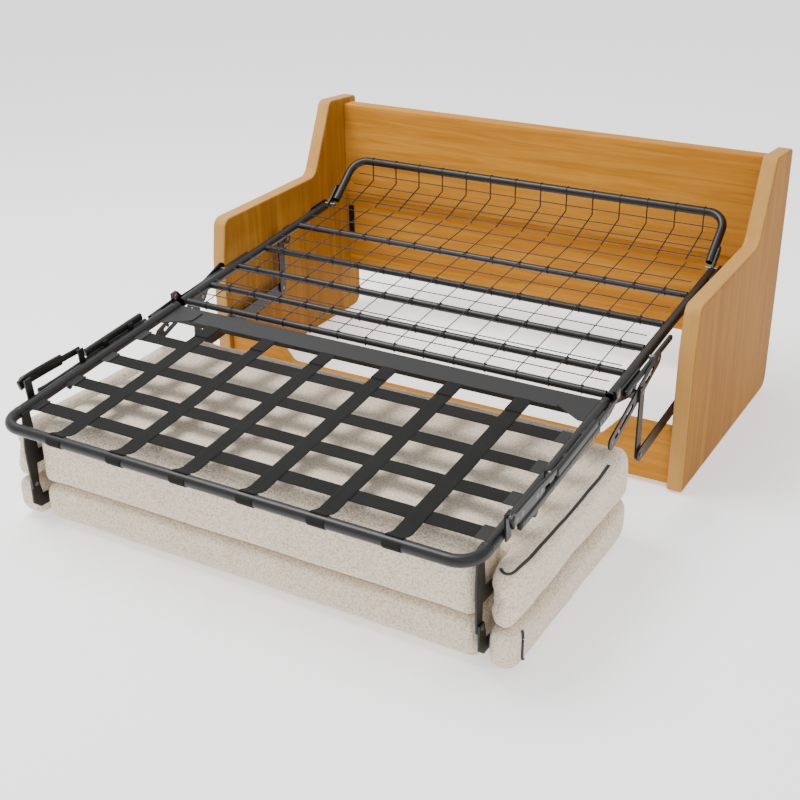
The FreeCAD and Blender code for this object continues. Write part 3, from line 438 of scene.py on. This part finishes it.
def stuffed_block(x0, x1, low, high, radii, end_round, around=120, along=60):
    """A side profile carried along X, shrunk near both ends by a quarter circle's inset."""
    profile = corner_profile(low, high, radii, around)
    centre = (np.asarray(low) + np.asarray(high)) / 2
    half = (np.asarray(high) - np.asarray(low)) / 2
    turn = np.linspace(0, math.pi / 2, 8)
    inset = end_round * (1 - np.cos(turn))
    run = end_round * (1 - np.sin(turn))
    x = np.r_[(x0 + run)[::-1], np.linspace(x0 + end_round, x1 - end_round, along)[1:-1], (x1 - run)]
    shrink = np.r_[inset[::-1], np.zeros(along - 2), inset]
    scale = 1 - shrink[:, None] / half[None, :]
    yz = centre + (profile - centre)[None] * scale[:, None, :]
    rings = np.concatenate([np.broadcast_to(x[:, None, None], yz[..., :1].shape), yz], -1)
    return rings, ring_faces(len(rings), around)


def evaluated(obj):
    return bpy.data.meshes.new_from_object(obj.evaluated_get(bpy.context.evaluated_depsgraph_get()))


def coordinates(mesh):
    co = np.empty(len(mesh.vertices) * 3)
    mesh.vertices.foreach_get("co", co)
    return co.reshape(-1, 3)


def inflate(obj, voxel, cap, pressure=4.0, frames=18):
    """Remesh the block evenly, blow it up as cloth, and hold each point within the cap."""
    remesh = obj.modifiers.new("even", "REMESH")
    remesh.mode, remesh.voxel_size = "VOXEL", voxel
    old = obj.data
    obj.data = evaluated(obj)
    bpy.data.meshes.remove(old)
    obj.modifiers.clear()
    rest = coordinates(obj.data)
    cloth = obj.modifiers.new("cloth", "CLOTH")
    settings = cloth.settings
    settings.use_pressure, settings.uniform_pressure_force = True, pressure
    settings.effector_weights.gravity = 0.0
    settings.quality = 4
    settings.tension_stiffness = settings.compression_stiffness = 12
    settings.bending_stiffness = 1.2
    cloth.point_cache.frame_start, cloth.point_cache.frame_end = 1, frames
    for step in range(1, frames + 1):
        bpy.context.scene.frame_set(step)
    blown = evaluated(obj)
    obj.modifiers.clear()
    bpy.context.scene.frame_set(1)
    move = coordinates(blown) - rest
    bpy.data.meshes.remove(blown)
    size = np.linalg.norm(move, axis=1, keepdims=True) + 1e-9
    rest = rest + move / size * cap * np.tanh(size / cap)
    return rest


def soft_noise(points, wave, seed):
    """Sum of five slow sine waves in fixed pseudo-random directions, from -1 to 1."""
    rng = np.random.default_rng(seed)
    total = np.zeros(len(points))
    for _ in range(5):
        direction = rng.normal(size=3)
        direction /= np.linalg.norm(direction)
        total += np.sin(points @ direction * (2 * math.pi / wave) + rng.uniform(0, 6.28))
    return total / 5


def mesh_normals(mesh, co):
    mesh.vertices.foreach_set("co", co.ravel())
    mesh.update()
    normals = np.empty(len(mesh.vertices) * 3)
    mesh.vertices.foreach_get("normal", normals)
    return normals.reshape(-1, 3)


def cushion_piece(name, body, spec, voxel, cap, seed, dips=()):
    x0, x1, low, high, radii, end_round = spec
    verts, faces = stuffed_block(x0, x1, low, high, radii, end_round)
    obj = finish_piece(name, verts, faces, body, TWEED)
    co = inflate(obj, voxel, cap)
    normals = mesh_normals(obj.data, co)
    push = 0.0014 * soft_noise(co, 0.23, seed) + 0.0007 * soft_noise(co, 0.09, seed + 7)
    for dip in dips:
        push = push - dip(co)
    co = co + normals * push[:, None]
    co[:, 2] = np.maximum(co[:, 2], 0.0005)
    co[:, 0] = np.clip(co[:, 0], -PANEL_CLEAR, PANEL_CLEAR)
    mesh_normals(obj.data, co)
    obj.data.polygons.foreach_set("use_smooth", [True] * len(obj.data.polygons))
    if not obj.data.materials:
        obj.data.materials.append(TWEED)
    finer = obj.modifiers.new("finer", "SUBSURF")
    finer.levels = finer.render_levels = 1
    return obj


FRONT, BACK = PANEL_FRONT - 1.046, PANEL_FRONT - 0.286
VOXEL = 0.012
PANEL_CLEAR = 0.7955
WING_IN, WING_OUT = {"left": 0.717, "right": 0.722}, 0.787


def gather(centre, reach):
    """Pinched folds that fan out from a sewn point, deepest near it."""
    def dip(co):
        away = co - np.asarray(centre)
        distance = np.linalg.norm(away, axis=1)
        angle = np.arctan2(away[:, 2], away[:, 1] + 0.6 * away[:, 0])
        folds = 0.5 + 0.5 * np.cos(angle * 9.0)
        return 0.016 * np.exp(-(distance / 0.03) ** 2) + 0.006 * folds * np.exp(-(distance / reach) ** 2)
    return dip


seat_main = cushion_piece("seat_cushion_main", "foot",
                          (-0.697, 0.697, (FRONT + 0.004, 0.134), (BACK - 0.003, 0.314),
                           (0.019, 0.026, 0.052, 0.058), 0.024), VOXEL, 0.012, 3)
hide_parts("seat_cushion")
pad_main = cushion_piece("back_cushion_main", "back_layer",
                         (-0.697, 0.697, (FRONT + 0.006, 0.004), (BACK - 0.006, 0.127),
                          (0.052, 0.034, 0.019, 0.019), 0.024), VOXEL, 0.010, 5)
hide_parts("back_cushion")
wings = {}
for side, sign in (("left", -1), ("right", 1)):
    inner, outer = sorted((WING_IN[side] * sign, WING_OUT * sign))
    fold = (0.790 * sign, FRONT + 0.012, 0.235) if sign < 0 else (0.733, FRONT + 0.004, 0.205)
    dips = [gather(fold, 0.085)]
    wings["seat_" + side] = cushion_piece("seat_cushion_wing_" + side, "foot",
                  (inner, outer, (FRONT + 0.001, 0.133), (BACK - 0.004, 0.300),
                   (0.020, 0.026, 0.060, 0.058), 0.027), 0.0085, 0.009, 11 + sign, dips)
    wings["back_" + side] = cushion_piece("back_cushion_wing_" + side, "back_layer",
                  (inner, outer, (FRONT + 0.001, 0.004), (BACK - 0.008, 0.128),
                   (0.052, 0.036, 0.020, 0.020), 0.026), 0.0085, 0.009, 17 + sign)
    inner, outer = sorted((0.680 * sign, 0.735 * sign))
    cushion_piece("seat_cushion_bridge_" + side, "foot",
                  (inner, outer, (PANEL_FRONT - 0.922, 0.142), (BACK - 0.012, 0.292),
                   (0.03, 0.04, 0.045, 0.03), 0.012), 0.009, 0.005, 23 + sign)
    cushion_piece("back_cushion_bridge_" + side, "back_layer",
                  (inner, outer, (PANEL_FRONT - 0.922, 0.006), (BACK - 0.014, 0.120),
                   (0.03, 0.03, 0.03, 0.03), 0.012), 0.009, 0.005, 29 + sign)

# Zips and pulls on the seat block
def lay_on(obj, path, direction, lift):
    """Move each point of a path onto a surface, cast along a direction, and lift it off a little."""
    direction = Vector(direction)
    laid = []
    for point in path:
        start = Vector(point) - direction * 0.08
        found, place, _, _ = obj.ray_cast(start, direction, distance=0.2)
        laid.append(np.array(place if found else point) - np.array(direction) * lift)
    laid = np.array(laid)
    for _ in range(4):
        laid[1:-1] = (laid[:-2] + laid[1:-1] * 2 + laid[2:]) / 4
    return laid


zips = Pile()
top_line = smooth_path([(x, PANEL_FRONT + y, 0.30) for x, y in (
    (0.742, -1.012), (0.757, -1.022), (0.772, -1.012), (0.778, -0.975), (0.779, -0.90), (0.779, -0.80),
    (0.778, -0.65), (0.777, -0.52), (0.773, -0.43))], 120)
zips.section(lay_on(wings["seat_right"], top_line, (0, 0, -1), 0.0004), 0.0056, 0.0020, 3.0, 10)
zips.piece("seat_zip", "foot", TAPE, "tweed")
low_zip = Pile()
low_line = smooth_path([(0.80, PANEL_FRONT + y, z) for y, z in (
    (-0.985, 0.112), (-0.992, 0.095), (-0.994, 0.07), (-0.992, 0.045), (-0.984, 0.028), (-0.970, 0.02))], 50)
low_zip.section(lay_on(wings["back_right"], low_line, (-1, 0, 0), 0.0004), 0.0056, 0.0020, 3.0, 10)
low_zip.piece("back_zip", "back_layer", TAPE, "tweed")
pull = Pile()
turn = np.linspace(0, 2 * math.pi, 25)[:-1]
loop = np.stack([-0.775 + 0.005 * np.sin(turn), FRONT + 0 * turn, 0.232 + 0.013 * np.cos(turn)], -1)
loop = lay_on(wings["seat_left"], loop, (0, 1, 0), 0.002)
pull.tube(loop, 0.0022, 8, closed=True)
pull.piece("seat_pull_loop", "foot", TAPE, "tweed")


# Straps
STRAP_AT = [0.208 * (i - 2.5) for i in range(6)]
CROSS_AT = [-(0.227 + 0.1487 * i) for i in range(4)]


def ribbon(pile, path, width_axis, half_width, half_thick):
    """Flat strap: a thin rounded rectangle carried along a path, its width along one axis."""
    path = np.asarray(path, float)
    tangent = np.gradient(path, axis=0)
    tangent /= np.linalg.norm(tangent, axis=1)[:, None]
    wide = np.broadcast_to(np.asarray(width_axis, float), path.shape)
    thick = np.cross(tangent, wide)
    thick /= np.linalg.norm(thick, axis=1)[:, None]
    across = np.array([-1, -0.97, -0.6, 0, 0.6, 0.97, 1, 0.97, 0.6, 0, -0.6, -0.97])
    up = np.array([0, 0.8, 1, 1, 1, 0.8, 0, -0.8, -1, -1, -1, -0.8])
    rings = path[:, None] + (across * half_width)[None, :, None] * wide[:, None] \
        + (up * half_thick)[None, :, None] * thick[:, None]
    pile.add(rings, ring_faces(len(rings), len(across)))


def weave_height(u, marks, rise, reach):
    """Extra height of a strap where it crosses others: a smooth hump at each mark."""
    return sum(rise * np.exp(-((u - m) / reach) ** 4) for m in marks)


long_straps = Pile()
for x in STRAP_AT:
    u = np.linspace(-0.797, -0.097, 150)
    w = 0.0012 + weave_height(u, CROSS_AT, 0.0016, 0.030) - 0.002 * np.sin((u + 0.097) * 4.4) ** 2
    turn = np.linspace(math.pi * 0.5, -math.pi * 1.25, 26)[::-1]
    wrap_r = TUBE_R + 0.0014
    ring_u = -0.794 + wrap_r * np.cos(turn)
    ring_w = wrap_r * np.sin(turn)
    lead = np.linspace(-0.794, -0.755, 6)[1:]
    lead_w = wrap_r - (wrap_r - 0.0032) * (0.5 - 0.5 * np.cos(np.linspace(0, math.pi, 6)[1:]))
    keep = u > -0.752
    path = on_bed(x, np.r_[ring_u, lead, u[keep]], np.r_[ring_w, lead_w, w[keep]])
    ribbon(long_straps, path, (1, 0, 0), 0.025, 0.0008)
    lap_u = np.linspace(-0.165, -0.096, 14)
    lap = on_bed(x, lap_u, 0.0036 + 0 * lap_u)
    ribbon(long_straps, lap, (1, 0, 0), 0.0255, 0.0008)
straps_piece = long_straps.piece("long_straps_woven", "foot", WEB_LONG, "webbing")
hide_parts("long_straps")

cross_straps = Pile()
for m in CROSS_AT:
    x = np.linspace(-0.706, 0.706, 180)
    w = 0.0006 - weave_height(x, STRAP_AT, 0.0006, 0.032)
    path = on_bed(x, m + 0 * x, w)
    ribbon(cross_straps, path, (0, math.cos(SLOPE), math.sin(SLOPE)), 0.025, 0.0008)
cross_piece = cross_straps.piece("cross_straps_woven", "foot", WEB_CROSS, "webbing")
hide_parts("cross_straps")

# Side hardware
LANE_A, LANE_B, LANE_D = 0.7429, 0.7494, 0.7645


def bar(name, body, x, points, half_height, half_width):
    """Pressed arm: a rounded channel section carried along side-view points on the bed plane."""
    arm = Pile()
    line = smooth_path([(x, u, w) for u, w in points], 48)
    path = on_bed(line[:, 0], line[:, 1], line[:, 2])
    arm.section(path, half_width, half_height, 3.2, 20)
    return arm.piece(name, body, STEEL, "steel")


deck_heads, foot_heads = Pile(), Pile()
bushes = Pile()
for side, sign in (("left", -1), ("right", 1)):
    bar("foot_channel_" + side, "foot", 0.7528 * sign,
        [(-0.615, 0.0), (-0.560, -0.003), (-0.4, -0.003), (-0.2, -0.003), (-0.142, -0.003)], 0.0105, 0.0066)
    bar("sleeve_grip_" + side, "foot", 0.7535 * sign,
        [(-0.412, 0.0225), (-0.380, 0.0225), (-0.2, 0.0225), (-0.160, 0.0225)], 0.0122, 0.0078)
    bar("lever_grip_" + side, "foot", 0.7615 * sign,
        [(-0.672, 0.046), (-0.640, 0.052), (-0.560, 0.049), (-0.503, 0.045)], 0.0165, 0.0060)
    bar("lever_shank_" + side, "foot", 0.7595 * sign,
        [(-0.520, 0.046), (-0.490, 0.045), (-0.450, 0.042), (-0.428, 0.041)], 0.0100, 0.0045)
    bar("deck_channel_" + side, "deck", 0.7528 * sign,
        [(0.050, -0.006), (0.12, -0.004), (0.25, -0.004), (0.400, -0.004)], 0.0082, 0.0066)
    for u, w in ((-0.074, -0.084), (0.264, -0.002), (0.20, -0.018), (-0.03, -0.0735)):
        deck_heads.head(on_bed((LANE_D + 0.0025) * sign, u, w), (sign, 0, 0), 0.0065, 0.0011)
    for u, w in ((-0.655, 0.051), (-0.625, 0.050), (-0.545, 0.047), (-0.520, 0.046)):
        foot_heads.head(on_bed((LANE_D + 0.0025) * sign, u, w), (sign, 0, 0), 0.0065, 0.0011)
    for u, w in ((-0.10, 0.0), (-0.122, 0.0), (-0.075, 0.0)):
        foot_heads.head(on_bed((LANE_B + 0.0025) * sign, u, w), (sign, 0, 0), 0.0055, 0.0022)
    for u in (-0.590, -0.430, -0.330, -0.190):
        foot_heads.head(on_bed(0.7594 * sign, u, -0.003), (sign, 0, 0), 0.0055, 0.0018)
    for u in (0.075, 0.200, 0.380):
        deck_heads.head(on_bed(0.7594 * sign, u, -0.004), (sign, 0, 0), 0.0050, 0.0018)
    for u, w, x in ((0.0, 0.020, 0.7520), (0.0, 0.020, 0.7400)):
        span = np.linspace(0, 0.0012, 4)
        bushes.tube(on_bed((x + span) * sign, u + 0 * span, w + 0 * span), 0.0092, 20)
deck_heads.piece("deck_rivets", "deck", ZINC, "zinc")
foot_heads.piece("foot_rivets", "foot", ZINC, "zinc")
bushes.piece("fold_washers", "deck", BRASS, "zinc")

# Hooks that tie the net to the cross tubes
hooks = Pile()
WIRE_AT = [0.098 * (i - 6.5) for i in range(14)]
curl = np.linspace(-0.35 * math.pi, 1.35 * math.pi, 15)
for tube_u in (0.019, 0.146, 0.300, 0.458, 0.665):
    for x in WIRE_AT:
        ring = on_bed(x + 0.0031 + 0.0009 * np.linspace(-1, 1, 15), tube_u + 0.0124 * np.cos(curl),
                      0.0124 * np.sin(curl))
        hooks.tube(ring, 0.0013, 6)
hooks.piece("net_hooks", "deck", WIRE, "steel")

# Hooks over the head hoop's tube
clips = Pile()
for x in WIRE_AT:
    x = x * 0.985
    clip = on_head(x + 0.003 + 0 * curl, 0.206 + 0.0152 * np.cos(curl), 0.0152 * np.sin(curl))
    clips.tube(clip, 0.0013, 6)
clips.piece("hoop_clips", "headrest", WIRE, "steel")

# Collars near the bends of the foot frame
collars = Pile()
for sign in (-1, 1):
    for start in (-0.728, -0.045):
        span = np.linspace(0, 0.016, 5)
        collars.tube(on_bed(TUBE_X * sign + 0 * span, start + span, 0 * span),
                     TUBE_R + np.array([0.0001, 0.0003, 0.0003, 0.0003, 0.0001]), 28)
collars.piece("foot_collars", "foot", STEEL, "steel")

# Camera at the photograph's angle
AZ, EL, ROLL = 0.52888, 0.45046, -0.01035
forward = np.array([-math.sin(AZ) * math.cos(EL), math.cos(AZ) * math.cos(EL), -math.sin(EL)])
level = np.array([math.cos(AZ), math.sin(AZ), 0.0])
upright = np.cross(level, forward)
right = level * math.cos(ROLL) + upright * math.sin(ROLL)
top = -level * math.sin(ROLL) + upright * math.cos(ROLL)
camera_data = bpy.data.cameras.new("view")
camera_data.sensor_width, camera_data.lens = 36.0, 1302.2 / 800 * 36.0
camera = bpy.data.objects.new("view", camera_data)
place = np.eye(4)
place[:3, 0], place[:3, 1], place[:3, 2] = right, top, -forward
place[:3, 3] = (1.8228, PANEL_FRONT - 3.3153, 1.9462)
camera.matrix_world = Matrix(place.tolist())
camera_data.clip_end = 60
bpy.context.scene.collection.objects.link(camera)
bpy.context.scene.camera = camera

# Floor and light
floor_finish = Finish("studio_floor", Roughness=0.75)
floor_cloud = floor_finish.noise(floor_finish.place(), 2.0, 2.0)
floor_finish.surface.inputs["Emission Strength"].default_value = 0.6
floor_finish.surface.inputs["Emission Color"].default_value = (1, 1, 1, 1)
floor_finish.set(Base_Color=floor_finish.mix(floor_cloud, (0.93, 0.93, 0.93), (0.94, 0.94, 0.94)))
floor_mesh = bpy.data.meshes.new("floor")
floor_mesh.from_pydata([(-14, -14, 0), (14, -14, 0), (14, 14, 0), (-14, 14, 0)], [], [(0, 1, 2, 3)])
floor_mesh.materials.append(floor_finish.material)
floor = bpy.data.objects.new("floor", floor_mesh)
bpy.context.scene.collection.objects.link(floor)

world = bpy.data.worlds.new("studio")
world.use_nodes = True
world.node_tree.nodes["Background"].inputs[0].default_value = (1.0, 1.0, 1.0, 1)
world.node_tree.nodes["Background"].inputs[1].default_value = 1.2
bpy.context.scene.world = world


def soft_light(name, place, aim, size, power):
    data = bpy.data.lights.new(name, "AREA")
    data.shape, data.size, data.energy = "SQUARE", size, power
    light = bpy.data.objects.new(name, data)
    light.location = place
    light.rotation_mode = "QUATERNION"
    light.rotation_quaternion = (Vector(aim) - Vector(place)).to_track_quat("-Z", "Y")
    bpy.context.scene.collection.objects.link(light)


soft_light("key", (-1.6, -0.6, 4.2), (0, 0, 0.3), 2.2, 230)
soft_light("fill", (3.4, -3.2, 3.0), (0, 0, 0.3), 3.0, 25)
